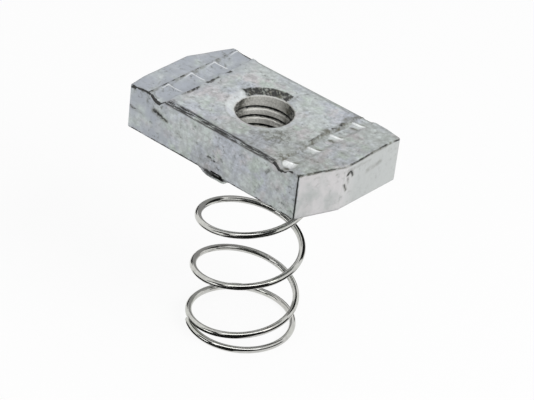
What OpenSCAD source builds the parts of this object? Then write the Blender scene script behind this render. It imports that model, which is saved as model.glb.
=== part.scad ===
// Channel nut with a spring
//
// A thick steel plate nut for a slotted strut channel. The plate has two opposite corners clipped so
// that it can be turned inside the channel, a threaded hole through its middle, and a toothed groove
// near each end that bites on a channel lip. A coil spring is staked to the underside at the middle of
// both long sides, and holds the nut up against the lips until the screw is tightened.
//
// Millimetres, +Z up along the thread, +X along the plate. The origin is on the floor under the thread.

/* [Plate] */
// Length of the plate, across the channel
plate_l = 34.5; // [31:0.5:42]
// Width of the plate, along the channel
plate_w = 19; // [17:0.5:24]
// Thickness of the plate
plate_t = 7.4; // [5:0.1:10]
// Length that each clipped corner takes off the end of a long side
clip_l = 2.9; // [1:0.1:4]
// Width that each clipped corner takes off an end face
clip_w = 7.1; // [3:0.1:8]
// Radius of the plate's upright corners
corner_r = 0.6; // [0.2:0.1:1]
// Width of the sheared slope along the top of each long side, seen from above
shear_w = 0.7; // [0.2:0.1:1.5]
// Drop of that slope at the side face
shear_drop = 0.3; // [0.1:0.1:0.8]

/* [Thread] */
// Nominal thread diameter
thread_d = 10; // [6:1:12]
// Thread pitch, taken off the nominal diameter to give the drilled hole
thread_pitch = 1.5; // [1:0.25:1.75]
// How far the countersink's rim lies outside the nominal thread
sink_margin = 0.6; // [0.1:0.1:1]
// Depth of the countersink on either face
sink_depth = 0.5; // [0.2:0.05:1]

/* [Toothed grooves] */
// Distance between the middles of the two grooves, to suit the channel's lips
groove_span = 24; // [22:0.5:26]
// Width of a groove at the top face
groove_w = 3.2; // [2.4:0.1:4]
// Width of a groove's floor
groove_floor_w = 1.3; // [0.6:0.1:2]
// Depth of a groove at the root of its teeth
groove_depth = 0.9; // [0.6:0.05:1.5]
// Height of a tooth above its root
tooth_h = 0.6; // [0.2:0.05:0.8]
// Distance from one tooth to the next
tooth_pitch = 4.9; // [3:0.1:6]
// Length of a tooth's steep face
tooth_face = 0.6; // [0.3:0.1:1.2]
// Place of a crest in the +X groove, along Y from the plate's middle
tooth_place = 2.3; // [-3:0.1:3]
// Place of a crest in the -X groove, measured likewise after half a turn
other_tooth_place = 0.4; // [-3:0.1:3]
// Slant of the teeth across the groove, in degrees
tooth_slant = 8; // [0:1:15]

/* [Spring] */
// Height of the spring under the plate
spring_h = 30; // [20:1:45]
// Wire diameter
wire_d = 1; // [0.7:0.1:1.4]
// Rise of the open coils per turn
coil_pitch = 8.8; // [5:0.1:12]
// Turns over which the wire bends up from the flat foot
foot_bend = 0.3; // [0.2:0.05:0.5]
// Turns that lie flat under the plate, enough to pass both stakes
head_turns = 0.54; // [0.52:0.01:0.6]
// Turns over which the wire flattens out under the plate
head_bend = 0.2; // [0.15:0.05:0.5]
// Extra rise of the upper turns, where the stakes pull them up to the plate
head_stretch = 1.7; // [0:0.1:3]
// Turns over which that extra rise is spread
stretch_turns = 1.2; // [0.8:0.1:1.5]
// Direction of the wire's upper end, in degrees from +X
wire_end = 106; // [104:1:115]
// Clear gap between the wire's lower end and the turn above it
turn_gap = 0.12; // [0.05:0.01:0.3]
// Clear gap between the upper turn and the plate
seat_gap = 0.06; // [0.02:0.01:0.2]

/* [Stakes] */
// Width of the plate outside the coil at each stake
stake_wall = 1.1; // [0.8:0.1:2]
// Length of a staked lip along the plate
stake_l = 4; // [2:0.5:5]
// Set-back of a lip from the plate's side
stake_inset = 0.15; // [0.05:0.05:0.4]
// Thickness of a lip under the wire
stake_t = 0.35; // [0.2:0.05:0.6]
// Clear gap between a lip and the wire
stake_gap = 0.15; // [0.1:0.01:0.25]
// Length of the chisel notch above a lip
notch_l = 2.4; // [1:0.1:4]
// Height of the chisel notch
notch_h = 0.8; // [0.3:0.1:1.2]
// Depth of the chisel notch
notch_d = 0.6; // [0.2:0.1:0.8]

/* [Hidden] */
$fn = 96;
// Extra reach of a cut past the face that it breaks through, and of a joined piece into its neighbour
reach = 0.5;
// Steps in the arc of one upright corner
corner_steps = 6;
// Sides of the wire's section, with a flat side down, and rings in one turn
wire_sides = 12;
turn_rings = 36;

// Levels of the plate's two faces
under_z = spring_h;
top_z = under_z + plate_t;

// Drilled hole and countersink rim
hole_r = (thread_d - thread_pitch) / 2;
sink_r = thread_d / 2 + sink_margin;

// Outline of the plate before its corners are rounded, counter-clockwise
outline = [
    [-plate_l / 2, -plate_w / 2],
    [plate_l / 2 - clip_l, -plate_w / 2],
    [plate_l / 2, clip_w - plate_w / 2],
    [plate_l / 2, plate_w / 2],
    [clip_l - plate_l / 2, plate_w / 2],
    [-plate_l / 2, plate_w / 2 - clip_w],
];

// Coil: middle of the wire in plan, and the level of its upper turn
wire_r = wire_d / 2;
coil_r = plate_w / 2 - stake_wall - wire_r;
head_z = under_z - seat_gap - wire_r;
coil_rise = head_z - wire_r;
// Flat turns at the foot, short enough for the wire to clear its lower end after a full turn
clear_turns = (wire_d + turn_gap) / coil_pitch;
bent_turns = sqrt(2 * foot_bend * clear_turns);
foot_turns = 1 - (bent_turns <= foot_bend ? bent_turns : clear_turns + foot_bend / 2);
// Turns in all
open_turns = (coil_rise - head_stretch) / coil_pitch;
coil_turns = foot_turns + head_turns + (foot_bend + head_bend) / 2 + open_turns;

function unit(v) = v / norm(v);

// Arc that rounds the corner p between its neighbours a and b
function corner_arc(a, p, b) =
    let (
        u = unit(a - p),
        v = unit(b - p),
        half = acos(u * v) / 2,
        centre = p + unit(u + v) * corner_r / sin(half),
        from = p + u * corner_r / tan(half) - centre,
        start = atan2(from.y, from.x)
    )
    [for (i = [0:corner_steps])
        let (angle = start + (180 - 2 * half) * i / corner_steps)
        centre + corner_r * [cos(angle), sin(angle)]];

// Closed outline with every corner rounded
function rounded(points) =
    let (n = len(points))
    [for (i = [0:n - 1]) each corner_arc(points[(i + n - 1) % n], points[i], points[(i + 1) % n])];

// Rise of the wire after some turns from an end: level, then bending up, then at the open pitch
function rise(turns, flat, bend) =
    turns <= flat ? 0
    : turns <= flat + bend ? coil_pitch * pow(turns - flat, 2) / (2 * bend)
    : coil_pitch * (turns - flat - bend / 2);

// Smooth step from 0 to 1
function ease(x) =
    let (c = max(0, min(1, x)))
    c * c * (3 - 2 * c);

// Level of the wire's middle after some turns from its lower end
function wire_level(turns) =
    let (
        left = coil_turns - turns,
        relaxed = turns < left
            ? wire_r + rise(turns, foot_turns, foot_bend)
            : head_z - head_stretch - rise(left, head_turns, head_bend)
    )
    relaxed + head_stretch * (1 - ease((left - head_turns) / stretch_turns));

// Point on the wire's skin, at some turns from its lower end and some angle round its section
function wire_point(turns, around) =
    let (
        angle = wire_end + 360 * (turns - coil_turns),
        skin_r = wire_r / cos(180 / wire_sides),
        out = coil_r + skin_r * cos(around)
    )
    [out * cos(angle), out * sin(angle), wire_level(turns) + skin_r * sin(around)];

// A shape and its copy turned half round the thread
module both_ends() {
    children();
    rotate(180) children();
}

// Prism along X from an outline in Y and Z
module along_x(length, points) {
    rotate([90, 0, 90]) linear_extrude(length, center = true) polygon(points);
}

// Prism along Y from an outline in X and Z
module along_y(length, points) {
    rotate([90, 0, 0]) linear_extrude(length, center = true) polygon(points);
}

// Drilled hole with a countersink on both faces
module threaded_hole() {
    rotate_extrude() polygon([
        [0, under_z - reach],
        [sink_r, under_z - reach],
        [sink_r, under_z],
        [hole_r, under_z + sink_depth],
        [hole_r, top_z - sink_depth],
        [sink_r, top_z],
        [sink_r, top_z + reach],
        [0, top_z + reach],
    ]);
}

// Space above one row of teeth: a steep rise to each crest, then a long slope down to the next root
module tooth_space(place) {
    root_z = top_z - groove_depth;
    rows = ceil(plate_w / tooth_pitch);
    crests = [for (i = [-rows:rows]) place + i * tooth_pitch];
    along_x(plate_w, concat(
        [for (y = crests) each [[y - tooth_face, root_z], [y, root_z + tooth_h]]],
        [[crests[2 * rows], top_z + reach], [crests[0] - tooth_face, top_z + reach]]
    ));
}

// Groove near the +X end, with slanted teeth left standing on its floor
module toothed_groove(place) {
    wall_run = (groove_w - groove_floor_w) / 2;
    over_run = reach * wall_run / groove_depth;
    translate([groove_span / 2, 0]) intersection() {
        along_y(plate_w + 2 * reach, [
            [-groove_floor_w / 2, top_z - groove_depth],
            [groove_floor_w / 2, top_z - groove_depth],
            [groove_w / 2 + over_run, top_z + reach],
            [-groove_w / 2 - over_run, top_z + reach],
        ]);
        rotate(tooth_slant) tooth_space(place);
    }
}

// Slope along the top of the -Y side, between the grooves
module sheared_edge() {
    slope = shear_drop / shear_w;
    along_x(groove_span - groove_w, [
        [-plate_w / 2 - reach, top_z - shear_drop - reach * slope],
        [-plate_w / 2 + shear_w + reach / slope, top_z + reach],
        [-plate_w / 2 - reach, top_z + reach],
    ]);
}

// Lip of displaced metal that hooks under the wire at the middle of the -Y side
module staked_lip() {
    side_y = stake_inset - plate_w / 2;
    lip_z = head_z - wire_r - stake_gap - stake_t;
    difference() {
        along_x(stake_l, [
            [side_y, under_z + reach],
            [side_y, head_z],
            [-coil_r - wire_r, lip_z],
            [-coil_r, lip_z],
            [-coil_r, under_z + reach],
        ]);
        translate([0, 0, head_z]) rotate_extrude() translate([coil_r, 0]) circle(wire_r + stake_gap);
    }
}

// Chisel notch that raised the lip
module chisel_notch() {
    along_x(notch_l, [
        [-plate_w / 2 - reach, under_z],
        [-plate_w / 2, under_z],
        [notch_d - plate_w / 2, under_z + notch_h / 3],
        [-plate_w / 2, under_z + notch_h],
        [-plate_w / 2 - reach, under_z + notch_h],
    ]);
}

module nut_plate() {
    color([0.71, 0.73, 0.73]) difference() {
        union() {
            translate([0, 0, under_z]) linear_extrude(plate_t) polygon(rounded(outline));
            both_ends() staked_lip();
        }
        threaded_hole();
        toothed_groove(tooth_place);
        rotate(180) toothed_groove(other_tooth_place);
        both_ends() {
            sheared_edge();
            chisel_notch();
        }
    }
}

module spring() {
    rings = ceil(coil_turns * turn_rings);
    n = wire_sides;
    points = [for (i = [0:rings], k = [0:n - 1]) wire_point(coil_turns * i / rings, 360 * (k + 0.5) / n)];
    walls = [for (i = [0:rings - 1], k = [0:n - 1])
        let (a = i * n + k, b = i * n + (k + 1) % n)
        each [[a, b, b + n], [a, b + n, a + n]]];
    lower_end = [for (k = [0:n - 1]) n - 1 - k];
    upper_end = [for (k = [0:n - 1]) rings * n + k];
    color([0.55, 0.55, 0.56]) polyhedron(points, concat(walls, [lower_end, upper_end]));
}

nut_plate();
spring();
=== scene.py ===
"""Looks of a channel nut: a zinc-plated plate with toothed grooves and a cut thread, on a bright coil spring."""
import logging
import math
from dataclasses import dataclass, field
from enum import Enum
from functools import cached_property
from typing import Callable, Iterable, Sequence, Union

import bmesh
import bpy
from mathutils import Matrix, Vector, noise
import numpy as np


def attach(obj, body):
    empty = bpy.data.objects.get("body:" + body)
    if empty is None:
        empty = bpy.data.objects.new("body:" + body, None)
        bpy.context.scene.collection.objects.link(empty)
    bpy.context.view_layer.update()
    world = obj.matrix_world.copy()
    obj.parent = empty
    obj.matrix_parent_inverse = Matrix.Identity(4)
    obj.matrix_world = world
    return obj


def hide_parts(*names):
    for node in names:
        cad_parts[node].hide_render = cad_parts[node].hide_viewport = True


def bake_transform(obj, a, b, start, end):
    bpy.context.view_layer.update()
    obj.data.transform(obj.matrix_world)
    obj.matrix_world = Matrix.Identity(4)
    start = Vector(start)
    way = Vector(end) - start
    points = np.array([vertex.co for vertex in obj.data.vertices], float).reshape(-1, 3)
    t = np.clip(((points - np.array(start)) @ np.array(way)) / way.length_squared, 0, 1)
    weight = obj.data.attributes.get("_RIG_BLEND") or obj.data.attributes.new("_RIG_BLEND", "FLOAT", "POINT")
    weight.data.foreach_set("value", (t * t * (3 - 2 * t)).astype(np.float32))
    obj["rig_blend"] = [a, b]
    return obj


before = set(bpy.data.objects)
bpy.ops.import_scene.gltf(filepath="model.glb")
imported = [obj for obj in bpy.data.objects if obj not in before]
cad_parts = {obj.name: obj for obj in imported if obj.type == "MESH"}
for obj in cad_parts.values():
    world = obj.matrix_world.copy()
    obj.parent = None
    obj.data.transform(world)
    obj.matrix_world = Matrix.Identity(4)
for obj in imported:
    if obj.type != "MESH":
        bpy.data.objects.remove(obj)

LOG = logging.getLogger("channel_nut")
MM = 0.001
CARVED_UNIT = 1.0
FULL_TURN = 2 * math.pi
UPRIGHT = Vector((0, 1, 0)).rotation_difference(Vector((0, 0, 1))).to_matrix()
WHITE = (1.0, 1.0, 1.0, 1.0)

BMesh = bmesh.types.BMesh
BMEdge = bmesh.types.BMEdge
BMVert = bmesh.types.BMVert
Colour = tuple[float, float, float, float]
Geometry = list[Union[BMVert, BMEdge, bmesh.types.BMFace]]
Socket = bpy.types.NodeSocket
Wire = Union[Socket, float, Sequence[float]]
Pair = tuple[float, float]
Triple = tuple[float, float, float]


class Mask(Enum):
    """Point attributes of the plate that its finish reads."""

    # dark torn marks and specks, with painted shadows in the notches and the thread
    GRIME_AND_SHADOW = "grime"
    # painted highlights, partly rubbed metal
    WEAR_AND_HIGHLIGHT = "shine"
    CUT = "cut"
    BAND = "band"
    # soft smudges and painted shade
    SMUDGE_AND_SHADE = "shade"
    END = "end"


class Cut(Enum):
    """Ways in which one mesh changes another."""

    TAKE = "DIFFERENCE"
    JOIN = "UNION"


def clamped(value: float) -> float:
    """Value held between 0 and 1."""
    return min(1.0, max(0.0, value))


def smooth_step(low: float, high: float, value: float) -> float:
    """Smooth step.

    Args:
        low: Value at which the step starts.
        high: Value at which the step ends.
        value: Value to place on the step.

    Returns:
        A share from 0 to 1.
    """
    share = clamped((value - low) / (high - low))
    return share * share * (3.0 - 2.0 * share)


def fall(low: float, high: float, value: float) -> float:
    """Smooth step down: 1 up to a low value and 0 from a high one."""
    return 1 - smooth_step(low, high, value)


def window(start: float, end: float, soft: float, value: float) -> float:
    """Smooth step up at a start and down at an end, over a softness at both sides of each."""
    return smooth_step(start - soft, start + soft, value) * fall(end - soft, end + soft, value)


def bearing(x: float, y: float) -> float:
    """Angle of a point round the Z axis, in degrees."""
    return math.degrees(math.atan2(y, x))


def ragged(a: float, b: float, seed: float) -> float:
    """Repeatable unevenness.

    Args:
        a: First coordinate, in lengths of one bump.
        b: Second coordinate, in lengths of one bump.
        seed: Number that keeps one use apart from the next.

    Returns:
        A value from about -1 to 1.
    """
    return noise.noise(Vector((a, b, seed)))


def segment_distance(point: Pair, start: Pair, end: Pair) -> float:
    """Distance from a point to a straight mark.

    Args:
        point: The point.
        start: One end of the mark.
        end: The other end.

    Returns:
        The distance, in the units of the points.
    """
    run = (end[0] - start[0], end[1] - start[1])
    away = (point[0] - start[0], point[1] - start[1])
    share = clamped((away[0] * run[0] + away[1] * run[1]) / (run[0] ** 2 + run[1] ** 2))
    return math.hypot(away[0] - share * run[0], away[1] - share * run[1])


def spaced(marks: Sequence[float], steps: Sequence[float]) -> list[float]:
    """Grid lines with their own spacing between each two marks.

    Args:
        marks: Places where the spacing changes, in rising order.
        steps: Largest spacing between each two marks.

    Returns:
        The places of all lines.
    """
    lines = [marks[0]]
    for low, high, step in zip(marks, marks[1:], steps):
        count = math.ceil((high - low) / step)
        lines += [low + (high - low) * (i + 1) / count for i in range(count)]
    return lines


def finish_mesh(bm: BMesh, name: str, unit: float = MM) -> bpy.types.Object:
    """Turns a working mesh in millimetres into an object.

    Args:
        bm: Working mesh, freed here.
        name: Name of the object.
        unit: Length of a millimetre: MM for metres, CARVED_UNIT for a mesh that is still to be carved.

    Returns:
        The object, at the origin.
    """
    bmesh.ops.recalc_face_normals(bm, faces=bm.faces[:])
    bmesh.ops.scale(bm, vec=(unit, unit, unit), verts=bm.verts[:])
    return to_object(bm, name)


def to_object(bm: BMesh, name: str) -> bpy.types.Object:
    """Links a working mesh to the scene as it is.

    Args:
        bm: Working mesh, freed here.
        name: Name of the object.

    Returns:
        The object, at the origin.
    """
    mesh = bpy.data.meshes.new(name)
    bm.to_mesh(mesh)
    bm.free()
    obj = bpy.data.objects.new(name, mesh)
    bpy.context.scene.collection.objects.link(obj)
    return obj


def slice_mesh(
    bm: BMesh, point: Sequence[float], normal: Sequence[float], dist: float, clear: bool = False,
) -> None:
    """Cuts a mesh along a plane.

    Args:
        bm: Working mesh.
        point: Point on the plane.
        normal: Outward normal of the plane.
        dist: Distance within which a point counts as on the plane.
        clear: Whether what lies outside is deleted.
    """
    everything = bm.verts[:] + bm.edges[:] + bm.faces[:]
    bmesh.ops.bisect_plane(bm, geom=everything, dist=dist, plane_co=point, plane_no=normal, clear_outer=clear)


def add_line(bm: BMesh, points: Iterable[Sequence[float]]) -> Geometry:
    """Adds a chain of edges through points.

    Args:
        bm: Working mesh.
        points: The points in order.

    Returns:
        The new points and edges.
    """
    verts = [bm.verts.new(point) for point in points]
    return verts + [bm.edges.new(pair) for pair in zip(verts, verts[1:])]


def add_ring(bm: BMesh, radius: float, sides: int, middle: Sequence[float]) -> list[BMVert]:
    """Adds an upright ring across the wire's run.

    Args:
        bm: Working mesh.
        radius: Radius of the ring.
        sides: Number of its points.
        middle: Its middle.

    Returns:
        The ring's points.
    """
    ring = bmesh.ops.create_circle(bm, cap_ends=False, radius=radius, segments=sides)["verts"]
    bmesh.ops.rotate(bm, cent=(0, 0, 0), matrix=UPRIGHT, verts=ring)
    bmesh.ops.translate(bm, vec=middle, verts=ring)
    return ring


def spin_round(
    bm: BMesh, geom: Geometry, steps: int, angle: float = FULL_TURN, climb: float = 0.0, merge: bool = False,
) -> Geometry:
    """Sweeps geometry round the Z axis.

    Args:
        bm: Working mesh.
        geom: Points and edges to sweep.
        steps: Number of steps.
        angle: Angle of the whole sweep, in radians.
        climb: Rise of each step.
        merge: Whether the last step closes on the first.

    Returns:
        The geometry of the last step.
    """
    return bmesh.ops.spin(
        bm, geom=geom, axis=(0, 0, 1), cent=(0, 0, 0), dvec=(0, 0, climb), angle=angle, steps=steps,
        use_merge=merge)["geom_last"]


def long_edges(bm: BMesh, reach: float) -> list[BMEdge]:
    """Edges of a prism that run along X for more than a reach."""
    return [edge for edge in bm.edges if abs(edge.verts[0].co.x - edge.verts[1].co.x) > reach]


def carve(target: bpy.types.Object, tool: bpy.types.Object, cut: Cut) -> None:
    """Cuts or joins a tool into a target and deletes the tool.

    Args:
        target: Object that keeps the result.
        tool: Object that is used up.
        cut: What to do with the tool.
    """
    modifier = target.modifiers.new("carve", "BOOLEAN")
    modifier.operation = cut.value
    modifier.solver = "EXACT"
    modifier.object = tool
    depsgraph = bpy.context.evaluated_depsgraph_get()
    carved = bpy.data.meshes.new_from_object(target.evaluated_get(depsgraph))
    target.modifiers.clear()
    old = target.data
    target.data = carved
    carved.name = target.name
    bpy.data.meshes.remove(old)
    bpy.data.objects.remove(tool)


class Graph:
    """Shader nodes of one material, group or world."""

    def __init__(self, tree: bpy.types.NodeTree) -> None:
        """Starts on a tree."""
        self.tree = tree

    def add(self, kind: str, wires: dict[Union[str, int], Wire], **settings: object) -> bpy.types.Node:
        """Adds a node.

        Args:
            kind: Node type.
            wires: Value or source socket of each input, by name or number.
            settings: Other properties of the node.

        Returns:
            The node.
        """
        node = self.tree.nodes.new(kind)
        for name, value in settings.items():
            setattr(node, name, value)
        for name, value in wires.items():
            if isinstance(value, bpy.types.NodeSocket):
                self.tree.links.new(value, node.inputs[name])
            else:
                node.inputs[name].default_value = value
        return node

    def math(self, operation: str, a: Wire, b: Wire = 0.0, clamp: bool = False) -> Socket:
        """Adds a Math node and returns its value."""
        return self.add("ShaderNodeMath", {0: a, 1: b}, operation=operation, use_clamp=clamp).outputs[0]

    def times(self, a: Wire, b: Wire, clamp: bool = False) -> Socket:
        """Adds a Math node that multiplies and returns its value."""
        return self.math("MULTIPLY", a, b, clamp)

    def span(self, value: Wire, low: float, high: float, to_low: float = 0.0, to_high: float = 1.0) -> Socket:
        """Adds a clamped smooth Map Range node and returns its value."""
        return self.add(
            "ShaderNodeMapRange",
            {"Value": value, "From Min": low, "From Max": high, "To Min": to_low, "To Max": to_high},
            interpolation_type="SMOOTHSTEP",
        ).outputs["Result"]

    def mix(self, share: Wire, a: Wire, b: Wire, blend: str = "MIX") -> Socket:
        """Adds a colour Mix node and returns its colour."""
        node = self.add("ShaderNodeMix", {0: share, 6: a, 7: b}, data_type="RGBA", blend_type=blend)
        return node.outputs[2]

    def noise(
        self, vector: Socket, scale: float, detail: float = 3.0, rough: float = 0.55, bend: float = 0.0,
    ) -> Socket:
        """Adds a Noise Texture node and returns its value."""
        wires = {"Vector": vector, "Scale": scale, "Detail": detail, "Roughness": rough, "Distortion": bend}
        return self.add("ShaderNodeTexNoise", wires).outputs["Fac"]

    def moved(self, vector: Socket, scale: Sequence[float], turn: Sequence[float] = (0, 0, 0)) -> Socket:
        """Adds a Mapping node and returns its vector."""
        turned = tuple(math.radians(angle) for angle in turn)
        return self.add("ShaderNodeMapping", {"Vector": vector, "Scale": scale, "Rotation": turned}).outputs[0]

    def millimetres(self) -> Socket:
        """Adds Object coordinates in millimetres and returns the vector."""
        place = self.add("ShaderNodeTexCoord", {}).outputs["Object"]
        return self.moved(place, (1 / MM, 1 / MM, 1 / MM))

    def attribute(self, mask: Mask) -> Socket:
        """Adds an Attribute node and returns its value."""
        return self.add("ShaderNodeAttribute", {}, attribute_name=mask.value).outputs["Fac"]

    def seen(self) -> Socket:
        """Adds a test for the rays that show the set: from the camera, glossy or transmitted.

        Returns:
            1 for such a ray and 0 for any other.
        """
        path = self.add("ShaderNodeLightPath", {}).outputs
        direct = self.math("MAXIMUM", path["Is Camera Ray"], path["Is Glossy Ray"])
        return self.math("MAXIMUM", direct, path["Is Transmission Ray"])


def new_material(name: str) -> tuple[bpy.types.Material, Graph]:
    """Starts a material.

    Args:
        name: Name of the material.

    Returns:
        The material and its empty graph.
    """
    material = bpy.data.materials.new(name)
    material.use_nodes = True
    material.node_tree.nodes.clear()
    return material, Graph(material.node_tree)


@dataclass(frozen=True)
class Effects:
    """Shader groups that more than one finish uses."""

    mottle: bpy.types.NodeTree
    scuffs: bpy.types.NodeTree

    @staticmethod
    def start(
        name: str, inputs: dict[str, str], outputs: dict[str, str],
    ) -> tuple[Graph, bpy.types.Node, bpy.types.Node]:
        """Starts an empty group.

        Args:
            name: Name of the group.
            inputs: Socket type of each input.
            outputs: Socket type of each output.

        Returns:
            Its graph, its input node and its output node.
        """
        tree = bpy.data.node_groups.new(name, "ShaderNodeTree")
        for label, kind in inputs.items():
            tree.interface.new_socket(label, in_out="INPUT", socket_type=kind)
        for label, kind in outputs.items():
            tree.interface.new_socket(label, in_out="OUTPUT", socket_type=kind)
        return Graph(tree), tree.nodes.new("NodeGroupInput"), tree.nodes.new("NodeGroupOutput")

    @classmethod
    def build(cls) -> "Effects":
        """Builds the groups once."""
        return cls(cls.build_mottle(), cls.build_scuffs())

    @classmethod
    def build_mottle(cls) -> bpy.types.NodeTree:
        """Builds the cloudy tints and dark specks of a plated surface.

        Returns:
            The group.
        """
        colour, number = "NodeSocketColor", "NodeSocketFloat"
        inputs = {"Place": "NodeSocketVector", "Main": colour, "Cool": colour, "Warm": colour, "Green": colour}
        outputs = {"Tint": colour, "Specks": number, "Height": number}
        graph, source, sink = cls.start("plated_mottle", inputs, outputs)
        place = source.outputs["Place"]
        cool = graph.span(graph.noise(place, 0.19, 3.0, 0.6), 0.42, 0.62)
        warm = graph.span(graph.noise(graph.moved(place, (1, 1, 1), (40, 15, 70)), 0.27, 4.0, 0.62), 0.5, 0.68)
        green = graph.span(graph.noise(graph.moved(place, (1, 1, 1), (10, 60, 25)), 0.33, 4.0, 0.62), 0.5, 0.66)
        tint = graph.mix(cool, source.outputs["Main"], source.outputs["Cool"])
        tint = graph.mix(warm, tint, source.outputs["Warm"])
        tint = graph.mix(green, tint, source.outputs["Green"])
        grain = graph.noise(place, 3.4, 4.0, 0.65)
        cloud = graph.noise(graph.moved(place, (1, 1, 1), (20, 40, 10)), 1.2, 4.0, 0.6)
        worn = graph.times(
            graph.span(grain, 0.3, 0.7, 0.88, 1.08), graph.span(cloud, 0.33, 0.67, 0.80, 1.12))
        level = graph.add("ShaderNodeCombineColor", {0: worn, 1: worn, 2: worn}).outputs[0]
        tint = graph.mix(1.0, tint, level, "MULTIPLY")
        patches = graph.span(graph.noise(place, 0.4, 3.0), 0.38, 0.58)
        specks = graph.span(graph.noise(place, 1.5, 4.0, 0.62, 0.4), 0.52, 0.7)
        graph.tree.links.new(tint, sink.inputs["Tint"])
        graph.tree.links.new(graph.times(specks, patches), sink.inputs["Specks"])
        graph.tree.links.new(grain, sink.inputs["Height"])
        return graph.tree

    @classmethod
    def build_scuffs(cls) -> bpy.types.NodeTree:
        """Builds fine scratches that run several ways.

        Returns:
            The group.
        """
        number = "NodeSocketFloat"
        inputs = {"Place": "NodeSocketVector", "Density": number}
        graph, source, sink = cls.start("fine_scuffs", inputs, {"Mask": number})
        place, density = source.outputs["Place"], source.outputs["Density"]
        total: Wire = 0.0
        for turn, stretch in (((0, 0, 24), 0.25), ((0, 35, -40), 0.3), ((30, 0, 78), 0.2)):
            lines = graph.noise(graph.moved(place, (stretch, 3.4, 3.4), turn), 1.0, 2.0, 0.5)
            total = graph.math("MAXIMUM", total, graph.span(lines, 0.63, 0.7))
        graph.tree.links.new(graph.times(total, density, True), sink.inputs["Mask"])
        return graph.tree

    def add_to(
        self, graph: Graph, place: Socket, tints: Sequence[Colour], density: float,
    ) -> tuple[bpy.types.Node, Socket]:
        """Adds both groups to a material.

        Args:
            graph: Graph of the material.
            place: Place on the surface, in millimetres.
            tints: Main, cool, warm and green tint.
            density: Strength of the scuffs.

        Returns:
            The node of the mottle and the mask of the scuffs.
        """
        wires = {"Place": place, **dict(zip(("Main", "Cool", "Warm", "Green"), tints))}
        mottle = graph.add("ShaderNodeGroup", wires, node_tree=self.mottle)
        scuffs = graph.add("ShaderNodeGroup", {"Place": place, "Density": density}, node_tree=self.scuffs)
        return mottle, scuffs.outputs["Mask"]


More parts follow.
